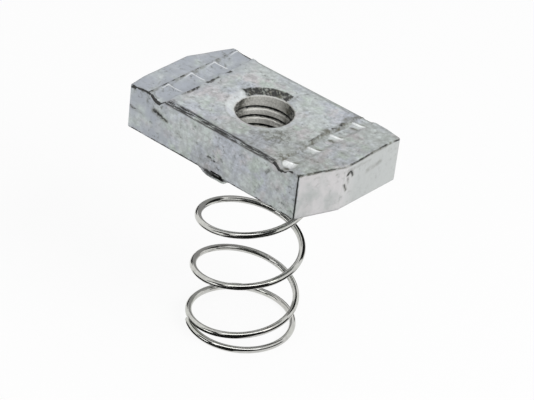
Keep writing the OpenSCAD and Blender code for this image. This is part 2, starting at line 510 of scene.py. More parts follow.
@dataclass(frozen=True)
class ZincFinish:
    """Satin zinc plating with cloudy tints, dark torn edges and a bright cut thread, with painted shade, shadows
    and highlights.
    """

    effects: Effects
    main: Colour = (0.56, 0.60, 0.595, 1.0)
    cool: Colour = (0.51, 0.54, 0.59, 1.0)
    warm: Colour = (0.58, 0.565, 0.58, 1.0)
    green: Colour = (0.54, 0.60, 0.565, 1.0)
    lilac: Colour = (0.42, 0.45, 0.50, 1.0)
    pale: Colour = (0.69, 0.675, 0.68, 1.0)
    # darker end colour for rubbed smears and for painted shade
    wiped_and_shaded: Colour = (0.47, 0.50, 0.49, 1.0)
    speck: Colour = (0.17, 0.18, 0.17, 1.0)
    # colour of soft smudges and of painted shade
    smudge_and_shade: Colour = (0.13, 0.128, 0.10, 1.0)
    # near-black of torn marks and of painted shadows
    grime: Colour = (0.025, 0.026, 0.025, 1.0)
    # colour of the painted highlights and glints, also of rubbed metal
    bright: Colour = (0.93, 0.95, 0.95, 1.0)
    steel: Colour = (0.66, 0.655, 0.615, 1.0)
    metallic: float = 0.55
    cut_metallic: float = 0.35
    wear_and_highlight_metallic: float = 0.95
    scuff_density: float = 0.35
    bump_height: float = 0.00002
    bump_strength: float = 0.6

    def plating(self, graph: Graph, place: Socket, mottle: bpy.types.Node, scuffs: Socket) -> Socket:
        """Adds the colour of the plating: cloudy tints, a lilac left end, specks and scuffs.

        Args:
            graph: Graph of the material.
            place: Place on the surface, in millimetres.
            mottle: Node of the mottle.
            scuffs: Mask of the scuffs.

        Returns:
            The colour.
        """
        along = graph.add("ShaderNodeSeparateXYZ", {0: place}).outputs["X"]
        wave = graph.span(graph.noise(place, 0.3, 2.0), 0.25, 0.6)
        lilac = graph.times(graph.span(along, -8.0, -12.0), wave)
        colour = graph.mix(lilac, mottle.outputs["Tint"], self.lilac)
        colour = graph.mix(graph.times(mottle.outputs["Specks"], 0.8), colour, self.speck)
        return graph.mix(graph.times(scuffs, 0.4), colour, self.speck)

    def sawn(self, graph: Graph, place: Socket, specks: Socket) -> Socket:
        """Adds the colour of the sawn ends: pale, darker in rubbed smears, and with painted shade darker towards
        the back.

        Args:
            graph: Graph of the material.
            place: Place on the surface, in millimetres.
            specks: Mask of the specks.

        Returns:
            The colour.
        """
        smear_and_shade = graph.noise(graph.moved(place, (1.0, 1.0, 0.7), (25, 0, 0)), 0.28, 3.0, 0.6)
        smear_and_shade = graph.times(graph.span(smear_and_shade, 0.42, 0.66), 0.8)
        across = graph.add("ShaderNodeSeparateXYZ", {0: place}).outputs["Y"]
        # painted shade: the end face darker than the clipped face
        smear_and_shade = graph.math("MAXIMUM", smear_and_shade, graph.span(across, -4.0, 1.0, 0.0, 0.75))
        return graph.mix(graph.times(specks, 0.22), graph.mix(smear_and_shade, self.pale, self.wiped_and_shaded), self.speck)

    def torn(self, graph: Graph, place: Socket, band: Socket) -> Socket:
        """Adds the black streaks of the sheared bands, the black torn marks of the edges and the painted shadows
        in the notches and the thread.

        Args:
            graph: Graph of the material.
            place: Place on the surface, in millimetres.
            band: Mask of the bands.

        Returns:
            The share of black.
        """
        streaks = graph.noise(graph.moved(place, (0.5, 7.0, 7.0)), 1.0, 4.0, 0.65)
        streaks = graph.times(band, graph.span(streaks, 0.38, 0.52))
        tears_and_shadows = graph.math("ADD", graph.attribute(Mask.GRIME_AND_SHADOW), graph.noise(place, 3.1, 4.0, 0.6))
        return graph.math("MAXIMUM", streaks, graph.span(tears_and_shadows, 0.85, 1.2), True)

    def material(self) -> bpy.types.Material:
        """Builds the material.

        Returns:
            The material.
        """
        material, graph = new_material("zinc_plate")
        place = graph.millimetres()
        tints = (self.main, self.cool, self.warm, self.green)
        mottle, scuffs = self.effects.add_to(graph, place, tints, self.scuff_density)
        grain = mottle.outputs["Height"]
        cut, shine, band = (graph.attribute(mask) for mask in (Mask.CUT, Mask.WEAR_AND_HIGHLIGHT, Mask.BAND))
        colour = self.plating(graph, place, mottle, scuffs)
        end = graph.times(graph.attribute(Mask.END), 0.92)
        colour = graph.mix(end, colour, self.sawn(graph, place, mottle.outputs["Specks"]))
        colour = graph.mix(cut, colour, self.steel)
        patchy = graph.span(graph.noise(place, 1.1, 5.0, 0.68), 0.3, 0.7, 0.25, 1.35)
        # soft smudges and painted shade
        colour = graph.mix(graph.times(graph.attribute(Mask.SMUDGE_AND_SHADE), patchy, True), colour, self.smudge_and_shade)
        # painted highlights, partly rubbed metal
        colour = graph.mix(shine, colour, self.bright)
        # painted highlight glints on the sheared band
        glints = graph.noise(graph.moved(place, (1.1, 6.0, 6.0), (0, 0, 2)), 1.0, 3.0, 0.6)
        colour = graph.mix(graph.times(band, graph.span(glints, 0.6, 0.68)), colour, self.bright)
        dark = self.torn(graph, place, band)
        # black torn marks and streaks, with painted shadow in the notches and the thread's roots
        colour = graph.mix(dark, colour, self.grime)
        rough = graph.math("ADD", graph.span(grain, 0.3, 0.7, 0.36, 0.52), graph.times(dark, 0.2))
        rubbed = graph.times(graph.math("MAXIMUM", cut, shine), 0.18)
        metal = graph.times(
            graph.span(dark, 0.0, 1.0, self.metallic, 0.1), graph.span(cut, 0.0, 1.0, 1.0, self.cut_metallic))
        bump = graph.add("ShaderNodeBump", {
            "Height": graph.times(grain, graph.math("SUBTRACT", 1.0, cut)),
            "Distance": self.bump_height,
            "Strength": self.bump_strength,
        })
        shader = graph.add("ShaderNodeBsdfPrincipled", {
            "Base Color": colour,
            "Metallic": graph.math("MAXIMUM", metal, graph.times(shine, self.wear_and_highlight_metallic)),
            "Roughness": graph.math("SUBTRACT", rough, rubbed, True),
            "Normal": bump.outputs["Normal"],
        })
        graph.add("ShaderNodeOutputMaterial", {"Surface": shader.outputs["BSDF"]})
        return material


@dataclass(frozen=True)
class WireFinish:
    """Bright drawn spring wire."""

    effects: Effects
    main: Colour = (0.58, 0.58, 0.55, 1.0)
    cool: Colour = (0.54, 0.54, 0.53, 1.0)
    warm: Colour = (0.58, 0.55, 0.52, 1.0)
    green: Colour = (0.54, 0.56, 0.50, 1.0)
    speck: Colour = (0.25, 0.25, 0.23, 1.0)
    scuff_density: float = 0.5

    def material(self) -> bpy.types.Material:
        """Builds the material.

        Returns:
            The material.
        """
        material, graph = new_material("spring_wire")
        place = graph.millimetres()
        tints = (self.main, self.cool, self.warm, self.green)
        mottle, scuffs = self.effects.add_to(graph, place, tints, self.scuff_density)
        drawn = graph.mix(0.45, self.main, mottle.outputs["Tint"])
        colour = graph.mix(graph.times(scuffs, 0.2), drawn, self.speck)
        rough = graph.span(mottle.outputs["Height"], 0.3, 0.7, 0.07, 0.13)
        shader = graph.add("ShaderNodeBsdfPrincipled", {"Base Color": colour, "Metallic": 1.0, "Roughness": rough})
        graph.add("ShaderNodeOutputMaterial", {"Surface": shader.outputs["BSDF"]})
        return material


@dataclass(frozen=True)
class Scar:
    """Elongated dent or scuff on a wall of the plate, by two points along the wall and up."""

    start: Pair
    end: Pair
    width: float
    depth: float
    dark: float


@dataclass
class NutPlate:
    """Thick plate with clipped corners, a threaded hole, two toothed grooves and two stakes. Millimetres."""

    length: float = 34.5
    width: float = 19.0
    under_z: float = 30.0
    thick: float = 7.4
    clip_l: float = 2.9
    clip_w: float = 7.1
    corner_r: float = 0.35
    corner_steps: int = 4
    edge_r: float = 0.22
    foot_r: float = 0.28
    apex_in: Pair = (0.35, 0.46)
    shear_drop: float = 0.3
    band_left: float = 1.15
    band_right: float = 0.6
    thread_d: float = 10.0
    thread_pitch: float = 1.5
    thread_steps: int = 72
    thread_lift: float = 0.4
    run_out: Pair = (-1.55, -1.2)
    side_shade_to: Pair = (66.0, 108.0)
    side_shade_from: Pair = (142.0, 186.0)
    sink_r: float = 5.6
    sink_depth: float = 0.5
    chatter_r: float = 4.5
    chatter_from: float = 84.0
    chatter_to: float = 166.0
    groove_right: float = 11.5
    groove_left: float = -12.0
    groove_w: float = 3.3
    groove_wall: float = 0.5
    mouth_wall: float = 1.15
    outer_fade: float = 0.6
    shallow: float = 0.38
    torn_right: Pair = (9.7, 11.4)
    torn_left: Pair = (-13.2, -11.3)
    dashes_right: tuple[Triple, ...] = ((-4.6, -3.3, 0.5), (-2.2, 1.5, 0.8), (3.2, 6.0, 0.9))
    dashes_left: tuple[Triple, ...] = (
        (-6.4, -5.2, 0.55), (-5.2, -2.7, 1.0), (-1.2, 1.7, 0.75), (3.0, 4.3, 0.85))
    groove_depth: float = 0.9
    tooth_h: float = 0.6
    tooth_pitch: float = 4.9
    tooth_face: float = 0.6
    tooth_right: float = 2.3
    tooth_left: float = 0.4
    tooth_slant: float = 8.0
    slant_reach: float = 2.0
    coil_r: float = 7.9
    wire_r: float = 0.5
    head_z: float = 29.44
    stake_from: float = -3.3
    stake_to: float = 2.2
    stake_inset: float = 0.15
    stake_t: float = 0.35
    stake_gap: float = 0.15
    notch_d: float = 0.6
    wall_loops: tuple[float, ...] = (
        0.985, 0.965, 0.94, *(0.91 - 0.04 * i for i in range(21)), 0.055, 0.035, 0.02, 0.009, 0.0)
    thread_shape: tuple[Pair, ...] = (
        (0.02, 0.0), (0.0, 0.12), (0.03, 0.24), (0.11, 0.36), (0.25, 0.46), (0.46, 0.53),
        (1.0, 0.62), (1.0, 0.70), (0.5, 0.79), (0.2, 0.87), (0.07, 0.94))
    sink_steps: int = 144
    sink_rings: int = 5
    notch_cuts: tuple[tuple[float, float, float, float], ...] = (
        (-1.0, 0.95, 0.22, 0.6),
        (-0.75, 1.2, -0.36, 0.02),
        (0.5, 1.16, -0.31, 0.54),
    )
    front_scars: tuple[Scar, ...] = (
        Scar((-12.4, 35.0), (-11.0, 34.6), 0.36, 0.12, 0.85),
        Scar((-11.0, 34.6), (-9.8, 34.3), 0.22, 0.08, 0.8),
        Scar((-16.9, 33.7), (-15.6, 33.5), 0.2, 0.05, 0.7),
        Scar((-15.6, 33.5), (-14.2, 33.3), 0.14, 0.04, 0.5),
        Scar((-1.8, 32.5), (-0.4, 32.2), 0.18, 0.06, 0.8),
        Scar((-0.2, 31.5), (0.6, 31.2), 0.2, 0.05, 0.6),
        Scar((-7.6, 33.3), (-6.9, 33.1), 0.16, 0.05, 0.5),
    )
    end_scars: tuple[Scar, ...] = (
        Scar((-2.1, 35.7), (-1.45, 36.1), 0.2, 0.06, 1.0),
        Scar((-1.45, 36.1), (-0.85, 35.2), 0.2, 0.06, 1.0),
        Scar((-2.5, 34.2), (-1.9, 33.1), 0.18, 0.04, 0.75),
        Scar((-1.9, 35.1), (-1.6, 34.2), 0.2, 0.04, 0.6),
        Scar((2.4, 34.6), (5.2, 34.9), 0.3, 0.03, 0.42),
    )

    @property
    def top_z(self) -> float:
        """Level of the upper face."""
        return self.under_z + self.thick

    @property
    def hole_r(self) -> float:
        """Radius of the thread's crests."""
        return (self.thread_d - self.thread_pitch) / 2

    @property
    def clip_x(self) -> float:
        """Place along the plate where the clipped end starts."""
        return self.length / 2 - self.clip_l

    @cached_property
    def core(self) -> list[Vector]:
        """Corners of the plan, moved inwards by the radius of the corners."""
        return self.outline(self.corner_r)

    @property
    def slope(self) -> float:
        """Sideways run of a tooth's crest along Y for each step along X."""
        return math.tan(math.radians(self.tooth_slant))

    def outline(self, inset: float = 0.0) -> list[Vector]:
        """Corners of the plan, counter-clockwise.

        Args:
            inset: Distance by which every side is moved inwards.

        Returns:
            The six corners.
        """
        half_l, half_w = self.length / 2, self.width / 2
        corners = [Vector(point) for point in (
            (-half_l, -half_w),
            (self.clip_x, -half_w),
            (half_l, self.clip_w - half_w),
            (half_l, half_w),
            (-self.clip_x, half_w),
            (-half_l, half_w - self.clip_w),
        )]
        moved = []
        for before, corner, after in zip(corners[-1:] + corners[:-1], corners, corners[1:] + corners[:1]):
            to_before, to_after = (before - corner).normalized(), (after - corner).normalized()
            middle = (to_before + to_after).normalized()
            moved.append(corner + middle * inset / math.sin(to_before.angle(to_after) / 2))
        return moved

    def planes(self) -> list[tuple[Vector, Vector]]:
        """Upright planes that bound the plan, sides first and then the rounded corners.

        Returns:
            A point and an outward normal for each plane.
        """
        corners = self.outline()
        sides, rounds, normals = [], [], []
        for corner, after in zip(corners, corners[1:] + corners[:1]):
            run = (after - corner).normalized()
            normals.append(Vector((run.y, -run.x)))
        for i, (corner, centre) in enumerate(zip(corners, self.core)):
            sides.append((corner.to_3d(), normals[i].to_3d()))
            before, after = normals[i - 1], normals[i]
            for step in range(1, self.corner_steps):
                normal = before.slerp(after, step / self.corner_steps).normalized()
                rounds.append(((centre + normal * self.corner_r).to_3d(), normal.to_3d()))
        return sides + rounds

    def edge(self, x: float, y: float) -> tuple[float, Vector]:
        """Distance to the plan's edge.

        Args:
            x: Place along the plate.
            y: Place across the plate.

        Returns:
            The distance inwards, and the direction inwards.
        """
        point, core = Vector((x, y)), self.core
        depth, inward, nearest = math.inf, Vector((1, 0)), None
        for corner, after in zip(core, core[1:] + core[:1]):
            run = after - corner
            normal = Vector((-run.y, run.x)).normalized()
            inside = (point - corner).dot(normal)
            if inside < depth:
                depth, inward = inside, normal
            share = clamped((point - corner).dot(run) / run.length_squared)
            foot = corner + run * share
            if nearest is None or (foot - point).length < (nearest - point).length:
                nearest = foot
        if depth >= 0 or (nearest - point).length < 1e-6:
            return self.corner_r + depth, inward
        return self.corner_r - (nearest - point).length, (nearest - point).normalized()

    def columns(self) -> list[float]:
        """Grid lines along the plate, close together over the grooves and the stake.

        Returns:
            The places of the lines.
        """
        near, far, reach = 2.3, 2.2, self.length / 2 + 0.4
        end, groove, plain, middle = 0.25, 0.11, 0.42, 0.22
        left, right = self.groove_left, self.groove_right
        marks = (-reach, left - far, left + near, -2.2, 2.2, right - near, right + far, reach)
        return spaced(marks, (end, groove, plain, middle, plain, groove, end))

    def rows(self) -> list[float]:
        """Grid lines across the plate, with a line on every crest and root of the teeth.

        Returns:
            The places of the lines.
        """
        half, side, middle, closest = self.width / 2, 0.1, 0.16, 0.06
        regular = spaced((-half - 0.5, -half + 1.5, half - 1.5, half + 0.5), (side, middle, side))
        tilt = math.cos(math.radians(self.tooth_slant))
        exact = []
        for turn in range(-3, 4):
            for place, sign in ((self.tooth_right, 1), (self.tooth_left, -1)):
                crest = place + turn * self.tooth_pitch
                exact += [sign * crest / tilt, sign * (crest - self.tooth_face) / tilt]
        kept = [y for y in regular if min(abs(y - line) for line in exact) > closest]
        return sorted(kept + [line for line in exact if abs(line) < half + 0.4])

    def shear(self, x: float) -> float:
        """Shift of a grid row across the plate, so that rows follow the slanted crests.

        Args:
            x: Place along the plate.

        Returns:
            The shift.
        """
        left, right, reach = self.groove_left, self.groove_right, self.slant_reach
        if x < left + reach:
            return self.slope * max(-reach, x - left)
        if x > right - reach:
            return self.slope * min(reach, x - right)
        share = (x - left - reach) / (right - left - 2 * reach)
        return self.slope * reach * (1 - 2 * share)

    def groove(self, x: float, y: float) -> tuple[float, float, float, float]:
        """Place in the nearer groove, seen as the one at the +X end.

        Args:
            x: Place along the plate.
            y: Place across the plate.

        Returns:
            Place across the groove with inwards negative, place along its teeth, relief and tooth share.
        """
        sign, middle, place = (1, self.groove_right, self.tooth_right)
        if x < 0:
            sign, middle, place = (-1, self.groove_left, self.tooth_left)
        across, along = sign * (x - middle), sign * y
        turn = math.radians(self.tooth_slant)
        phase = (along * math.cos(turn) - across * math.sin(turn) - place) % self.tooth_pitch
        long_run = self.tooth_pitch - self.tooth_face
        tooth = 1 - phase / long_run if phase < long_run else (phase - long_run) / self.tooth_face
        wobble = 0.05 * ragged(y * 0.9, sign * 3.0, 1.5)
        if across < 0:
            wobble += 0.10 * ragged(y * 1.1, sign * 5.0, 7.5) + 0.07 * ragged(y * 3.3, sign * 5.0, 9.5)
        run = self.groove_wall + (self.mouth_wall - self.groove_wall) * smooth_step(7.6, 9.3, abs(y))
        wall = max(0.0, abs(across) + wobble - self.groove_w / 2 + run) * self.groove_depth / run
        floor = tooth * self.tooth_h + 0.02 * ragged(x * 2.5, y * 2.5, 4.5)
        fade = 1 - self.outer_fade * smooth_step(-0.4, self.groove_w / 2, across)
        if x > 0:
            mouth = fall(6.5, 8.0, -y)
            fade = 1 - smooth_step(0.1, 1.35, across) * (0.6 + 0.4 * mouth)
            fade *= 1 - self.shallow * mouth
        return across, phase, (max(wall, floor) - self.groove_depth) * fade, tooth

    def wall_foot(self, tooth: float) -> float:
        """Place across a groove where its wall meets the floor, by the share of the tooth there."""
        return self.groove_w / 2 - self.groove_wall * (1 - tooth * self.tooth_h / self.groove_depth)

    @staticmethod
    def from_front(x: float, y: float) -> float:
        """Place along a long side, with the back one seen as the front one turned half round."""
        return x if y < 0 else -x

    def on_front(self, y: float) -> bool:
        """Whether a point of a wall is on the front one."""
        return y < -self.width / 2 + 0.3

    def band_width(self, x: float) -> float:
        """Width of the sheared band along a long side, at a place along the plate."""
        share = (x + self.length / 3) / (self.length / 1.5)
        return self.band_left + (self.band_right - self.band_left) * clamped(share)

    def between(self, x: float) -> float:
        """Share of the sheared band at a place along the plate: 1 between the grooves and 0 past them."""
        inner = self.groove_w / 2
        return window(self.groove_left + inner, self.groove_right - inner, 0.3, x)

    def relief(self, x: float, y: float) -> float:
        """Height of the upper face over its level, never above it.

        Args:
            x: Place along the plate.
            y: Place across the plate.

        Returns:
            The height, 0 or less.
        """
        gap, _ = self.edge(x, y)
        gap = max(0.0, gap)
        drop = 0.0
        radius = self.edge_r * (1 + 0.35 * ragged(x * 0.5, y * 0.5, 2.5))
        if gap < radius:
            drop = radius - math.sqrt(radius ** 2 - (radius - gap) ** 2)
        side = self.width / 2 - abs(y)
        width = self.band_width(self.from_front(x, y))
        if side < width:
            slope = (1 - side / width) * self.shear_drop
            ridges = 0.05 * ragged(x * 0.35, side * 7.0, 3.5) * smooth_step(0, 0.15, side)
            drop = max(drop, self.between(self.from_front(x, y)) * max(0.0, slope + ridges))
        for corner in (-1, 1):
            far = math.hypot(x - corner * self.length / 2, y - corner * self.width / 2)
            drop += 0.3 * fall(0.0, 3.2, far)
        return min(0.0, -drop, self.groove(x, y)[2])

    def build(self) -> bpy.types.Object:
        """Models the plate.

        Returns:
            The object.
        """
        plate = finish_mesh(self.slab(), "zinc_plate_body", CARVED_UNIT)
        carve(plate, finish_mesh(self.thread_tool(), "thread_tool", CARVED_UNIT), Cut.TAKE)
        for upper in (True, False):
            carve(plate, finish_mesh(self.sink_tool(upper), "sink_tool", CARVED_UNIT), Cut.TAKE)
        for side in (-1, 1):
            lip = finish_mesh(self.lip(side), "lip", CARVED_UNIT)
            carve(lip, finish_mesh(self.wire_tool(), "wire_tool", CARVED_UNIT), Cut.TAKE)
            carve(plate, lip, Cut.JOIN)
            for cut in self.notch_cuts:
                notch = finish_mesh(self.notch_tool(side, cut), "notch_tool", CARVED_UNIT)
                carve(plate, notch, Cut.TAKE)
        self.shade(plate.data)
        self.paint(plate.data)
        return plate

    def slab(self) -> BMesh:
        """Models the slab with its grooves and worn edges.

        Returns:
            The working mesh.
        """
        xs, ys = self.columns(), self.rows()
        bm = bmesh.new()
        bmesh.ops.create_grid(bm, x_segments=len(xs) - 1, y_segments=len(ys) - 1, size=1.0)
        for vert in bm.verts:
            x = xs[round((vert.co.x + 1) / 2 * (len(xs) - 1))]
            y = ys[round((vert.co.y + 1) / 2 * (len(ys) - 1))]
            vert.co = (x, y + self.shear(x), 0.0)
        planes = self.planes()
        for point, normal in planes:
            slice_mesh(bm, point, normal, 1e-4, clear=True)
        for point, normal in planes[:6]:
            for inset in (0.07, 0.16, 0.28):
                slice_mesh(bm, point - normal * inset, normal, 1e-4)
        bmesh.ops.remove_doubles(bm, verts=bm.verts[:], dist=0.02)
        for vert in bm.verts:
            vert.co.z = self.top_z + self.relief(vert.co.x, vert.co.y)
        self.extrude_walls(bm)
        return bm

    def extrude_walls(self, bm: BMesh) -> None:
        """Draws the walls down from the upper face's rim and closes the underside.

        Args:
            bm: Working mesh that holds the upper face.
        """
        rim_level = bm.verts.layers.float.new("rim_level")
        ring = [edge for edge in bm.edges if edge.is_boundary]
        for vert in {vert for edge in ring for vert in edge.verts}:
            vert[rim_level] = vert.co.z - self.under_z
        walls = []
        for share in self.wall_loops:
            grown = bmesh.ops.extrude_edge_only(bm, edges=ring)["geom"]
            fresh = {item for item in grown if isinstance(item, BMVert)}
            edges = [item for item in grown if isinstance(item, BMEdge)]
            ring = [edge for edge in edges if set(edge.verts) <= fresh]
            for vert in fresh:
                vert.co.z = self.under_z + vert[rim_level] * share
            walls += fresh
        bmesh.ops.edgeloop_fill(bm, edges=ring)
        for vert in walls:
            self.shape_wall(vert)
        bm.verts.layers.float.remove(rim_level)

    def scars_near(self, x: float, y: float, z: float) -> list[tuple[Scar, float]]:
        """Scars on the wall of a point, each with its distance.

        Args:
            x: Place along the plate.
            y: Place across the plate.
            z: Height.

        Returns:
            The scars and their distances.
        """
        if self.on_front(y):
            return [(scar, segment_distance((x, z), scar.start, scar.end)) for scar in self.front_scars]
        if x > self.length / 2 - 0.8:
            return [(scar, segment_distance((y, z), scar.start, scar.end)) for scar in self.end_scars]
        return []

    def shape_wall(self, vert: BMVert) -> None:
        """Rounds the lower edge, dents the scars and slants the clipped end's lower corner.

        Args:
            vert: Point on a wall.
        """
        x, y, z = vert.co
        height = z - self.under_z
        _, inward = self.edge(x, y)
        push = 0.0
        if height < self.foot_r:
            push = self.foot_r - math.sqrt(self.foot_r ** 2 - (self.foot_r - height) ** 2)
        for scar, far in self.scars_near(x, y, z):
            push += scar.depth * fall(0.0, scar.width * 1.6, far)
        push += 0.02 * max(0.0, ragged(x * 0.8 + y, z * 0.8, 6.5))
        vert.co.x += inward.x * push
        vert.co.y += inward.y * push
        half_w = self.width / 2
        apex_y = self.clip_w - half_w
        if x > self.clip_x - 0.3:
            if y < apex_y:
                share = (y + half_w) / self.clip_w
            else:
                share = (half_w - y) / (half_w - apex_y)
            vert.co.x -= self.apex_in[0] * share * (1 - height / self.thick)
            vert.co.y -= self.apex_in[1] * share * (1 - height / self.thick)

    def thread_tool(self) -> BMesh:
        """Models the metal that a tap takes out.

        Returns:
            The working mesh.
        """
        depth = self.thread_d / 2 - self.hole_r
        turn = [(self.hole_r + depth * out, self.thread_pitch * up) for out, up in self.thread_shape]
        points = []
        for i in range(math.ceil(self.thick / self.thread_pitch) + 3):
            start = self.under_z + (i - 2) * self.thread_pitch + self.thread_lift
            points += [(radius, 0.0, start + rise) for radius, rise in turn]
        bm = bmesh.new()
        climb = self.thread_pitch / self.thread_steps
        spin_round(bm, add_line(bm, points), self.thread_steps, climb=climb)
        bmesh.ops.remove_doubles(bm, verts=bm.verts[:], dist=0.004)
        for vert in bm.verts:
            radius = math.hypot(vert.co.x, vert.co.y)
            cut = fall(*self.run_out, vert.co.z - self.top_z)
            share = (self.hole_r + max(0.0, radius - self.hole_r) * cut) / radius
            vert.co.x *= share
            vert.co.y *= share
        for level, normal in ((self.under_z - 0.1, (0, 0, -1)), (self.top_z + 0.1, (0, 0, 1))):
            slice_mesh(bm, (0, 0, level), normal, 1e-5, clear=True)
            ends = [edge for edge in bm.edges if edge.is_boundary]
            bmesh.ops.edgeloop_fill(
                bm, edges=[edge for edge in ends if all(abs(vert.co.z - level) < 1e-3 for vert in edge.verts)])
        return bm

    def sink_tool(self, upper: bool) -> BMesh:
        """Models a countersink, with the chatter of the cutter in the upper one.

        Args:
            upper: Whether it is the one in the upper face.

        Returns:
            The working mesh.
        """
        sign = 1 if upper else -1
        face = self.top_z if upper else self.under_z
        profile = [(0.0, -self.sink_depth - 0.1), (self.hole_r - 0.25, -self.sink_depth - 0.1)]
        for i in range(self.sink_rings + 1):
            share = i / self.sink_rings
            profile.append((self.hole_r + (self.sink_r - self.hole_r) * share, self.sink_depth * (share - 1)))
        profile += [(self.sink_r + 0.3, 0.12), (0.0, 0.12)]
        bm = bmesh.new()
        line = add_line(bm, [(radius, 0.0, face + sign * rise) for radius, rise in profile])
        spin_round(bm, line, self.sink_steps, merge=True)
        bmesh.ops.remove_doubles(bm, verts=bm.verts[:], dist=0.001)
        for vert in bm.verts:
            x, y, _ = vert.co
            radius, angle = math.hypot(x, y), bearing(x, y)
            if not upper or not self.hole_r < radius < self.sink_r + 0.2:
                continue
            rough = self.chattered(x, y, 0.2)
            grow = 1 + rough * (0.02 + 0.035 * ragged(angle * 0.23, radius * 2.0, 11.5))
            vert.co.x *= grow
            vert.co.y *= grow
        return bm

    @staticmethod
    def prism(start: float, end: float, points: Sequence[Pair]) -> BMesh:
        """Models a prism along X.

        Args:
            start: Where it starts along X.
            end: Where it ends.
            points: Its outline in Y and Z.

        Returns:
            The working mesh.
        """
        bm = bmesh.new()
        face = bm.faces.new([bm.verts.new((start, y, z)) for y, z in points])
        grown = bmesh.ops.extrude_face_region(bm, geom=[face])["geom"]
        ends = [item for item in grown if isinstance(item, BMVert)]
        bmesh.ops.translate(bm, vec=(end - start, 0, 0), verts=ends)
        return bm

    def lip(self, side: int) -> BMesh:
        """Models the burr that hooks under the wire.

        Args:
            side: -1 for the front and 1 for the back.

        Returns:
            The working mesh.
        """
        outer = self.width / 2 - self.stake_inset
        low = self.head_z - self.wire_r - self.stake_gap - self.stake_t
        points = (
            (side * outer, self.under_z + 0.4),
            (side * outer, self.head_z),
            (side * (self.coil_r + self.wire_r), low),
            (side * self.coil_r, low),
            (side * self.coil_r, self.under_z + 0.4),
        )
        start, end = sorted((-side * self.stake_from, -side * self.stake_to))
        bm = self.prism(start, end, points)
        lower = [edge for edge in long_edges(bm, 1)
                 if max(vert.co.z for vert in edge.verts) < self.head_z + 0.01]
        bmesh.ops.bevel(bm, geom=lower, offset=0.22, segments=4, profile=0.5, affect="EDGES", material=-1)
        bmesh.ops.subdivide_edges(bm, edges=long_edges(bm, 1), cuts=21)
        for vert in bm.verts:
            along = -side * vert.co.x
            if vert.co.z < self.under_z - 0.1:
                full = smooth_step(self.stake_from - 0.1, self.stake_from + 1.0, along)
                full *= fall(self.stake_to - 1.9, self.stake_to + 0.1, along)
                vert.co.z = self.under_z + (vert.co.z - self.under_z) * (0.12 + 0.88 * full)
                vert.co.z += 0.06 * ragged(along * 1.7, side * 4.0, 13.5)
                vert.co.y += 0.05 * ragged(along * 1.3, side * 4.0, 15.5)
        return bm

    def wire_tool(self) -> BMesh:
        """Models the room that the wire takes under a lip.

        Returns:
            The working mesh.
        """
        bm = bmesh.new()
        add_ring(bm, self.wire_r + self.stake_gap, 24, (self.coil_r, 0, self.head_z))
        spin_round(bm, bm.verts[:] + bm.edges[:], 96, merge=True)
        bmesh.ops.remove_doubles(bm, verts=bm.verts[:], dist=0.001)
        return bm

    def notch_tool(self, side: int, cut: tuple[float, float, float, float]) -> BMesh:
        """Models one slot of the chisel mark over a lip.

        Args:
            side: -1 for the front and 1 for the back.
            cut: Its start, end, lower and upper edge, along the front and up from the underside.

        Returns:
            The working mesh.
        """
        half = self.width / 2
        low, high = self.under_z + cut[2], self.under_z + cut[3]
        points = (
            (side * (half + 0.5), low),
            (side * (half - self.notch_d), low + 0.05),
            (side * (half - self.notch_d), high - 0.1),
            (side * (half + 0.5), high),
        )
        start, end = sorted((-side * cut[0], -side * cut[1]))
        bm = self.prism(start, end, points)
        bmesh.ops.subdivide_edges(bm, edges=long_edges(bm, 0.5), cuts=7)
        for vert in bm.verts:
            vert.co.z += 0.05 * ragged(vert.co.x * 2.3, side * 2.0, 17.5)
        return bm

    @staticmethod
    def shade(mesh: bpy.types.Mesh) -> None:
        """Cleans a carved mesh, sets its smooth and sharp edges and scales it to metres.

        Args:
            mesh: Mesh in millimetres.
        """
        merge, sliver, hole_sides = 0.003, 0.001, 4
        sharp, flat_area = math.radians(48), 4
        bm = bmesh.new()
        bm.from_mesh(mesh)
        bmesh.ops.remove_doubles(bm, verts=bm.verts[:], dist=merge)
        bmesh.ops.dissolve_degenerate(bm, edges=bm.edges[:], dist=sliver)
        bmesh.ops.holes_fill(bm, edges=[edge for edge in bm.edges if edge.is_boundary], sides=hole_sides)
        bmesh.ops.recalc_face_normals(bm, faces=bm.faces[:])
        for face in bm.faces:
            face.smooth = face.calc_area() < flat_area
        for edge in bm.edges:
            edge.smooth = len(edge.link_faces) == 2 and edge.calc_face_angle() < sharp
        bmesh.ops.scale(bm, vec=(MM, MM, MM), verts=bm.verts[:])
        bm.to_mesh(mesh)
        bm.free()

    def paint(self, mesh: bpy.types.Mesh) -> None:
        """Writes the point attributes that the finish reads.

        Args:
            mesh: Mesh in metres.
        """
        painters: dict[Mask, Callable[[Vector], float]] = {
            Mask.GRIME_AND_SHADOW: self.grime_and_shadow_at,
            Mask.WEAR_AND_HIGHLIGHT: self.wear_and_highlight_at,
            Mask.CUT: self.cut_at,
            Mask.BAND: self.band_at,
            Mask.SMUDGE_AND_SHADE: self.smudge_and_shade_at,
            Mask.END: self.end_at,
        }
        points = [vert.co / MM for vert in mesh.vertices]
        for mask, painter in painters.items():
            layer = mesh.attributes.new(mask.value, "FLOAT", "POINT")
            layer.data.foreach_set("value", [painter(point) for point in points])

    def cut_at(self, point: Vector) -> float:
        """Share of bare cut thread at a point."""
        in_bore = math.hypot(point.x, point.y) < self.thread_d / 2 + 0.1
        return float(in_bore and self.under_z < point.z < self.top_z - self.sink_depth + 0.03)

